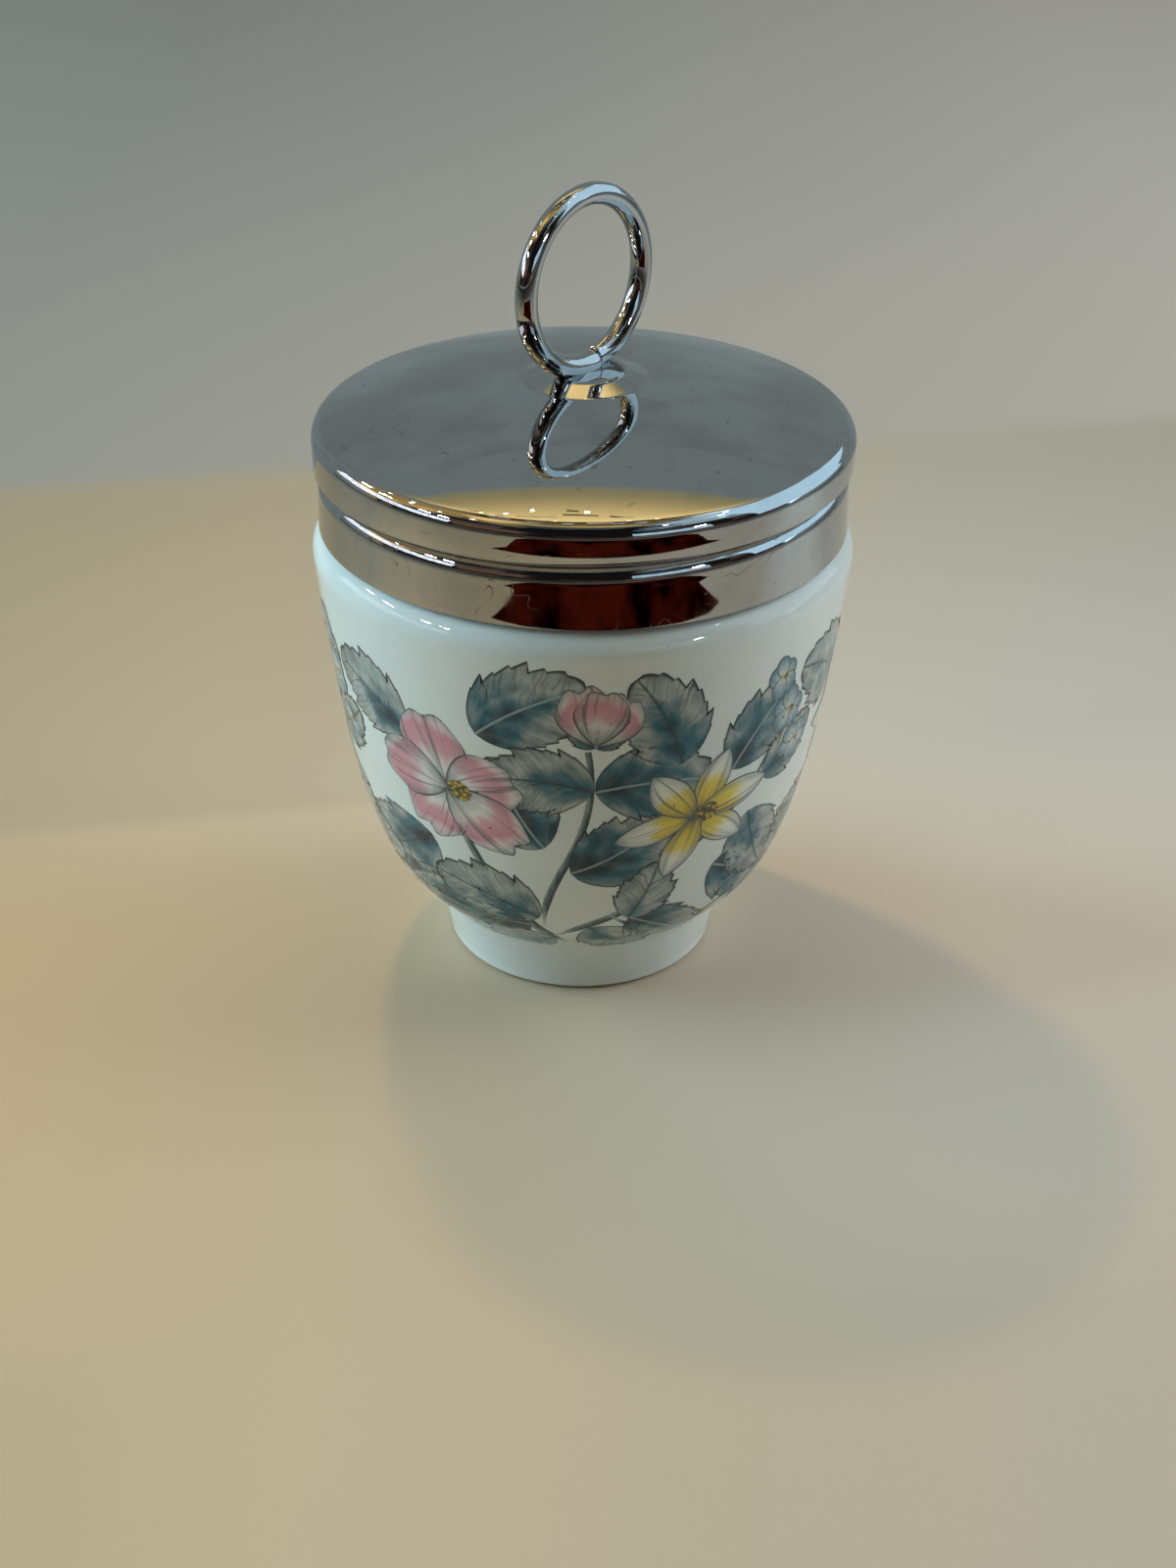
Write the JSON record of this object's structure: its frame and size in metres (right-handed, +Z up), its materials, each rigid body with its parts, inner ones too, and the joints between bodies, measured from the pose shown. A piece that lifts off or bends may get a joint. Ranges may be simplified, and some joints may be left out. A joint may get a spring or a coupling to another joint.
{
  "type": "porcelain egg coddler",
  "caption": "Round footed porcelain cup with a floral band, closed by a polished screw lid with an upright lifting ring.",
  "frame": {"origin": "centre of the foot, on the plane the cup stands on", "axes": "+Z up along the screw axis; the lifting ring lies in the XZ plane"},
  "size_m": [0.0668, 0.0668, 0.1005],
  "materials": {
    "porcelain": "glossy white glaze with a floral transfer band",
    "seal": "moulded, matt",
    "lid_metal": "mirror polished",
    "ring_metal": "mirror polished wire"
  },
  "bodies": {
    "cup": {"porcelain_cup": "porcelain"},
    "seal": {"sealing_ring": "seal"},
    "lid": {"lid_shell": "lid_metal", "lifting_ring": "ring_metal"}
  },
  "joints": [
    {"name": "lid_rise", "type": "slide", "parent": "cup", "child": "seal", "axis": [0, 0, 1], "range_m": [0, 0.0118]},
    {"name": "lid_turn", "type": "hinge", "parent": "seal", "child": "lid", "pos_m": [0, 0, 0.066], "axis": [0, 0, 1], "range_deg": [0, 1620]}
  ],
  "couplings": [
    {"joint": "lid_rise", "follows": "lid_turn", "m_per_rad": 0.0004138}
  ]
}
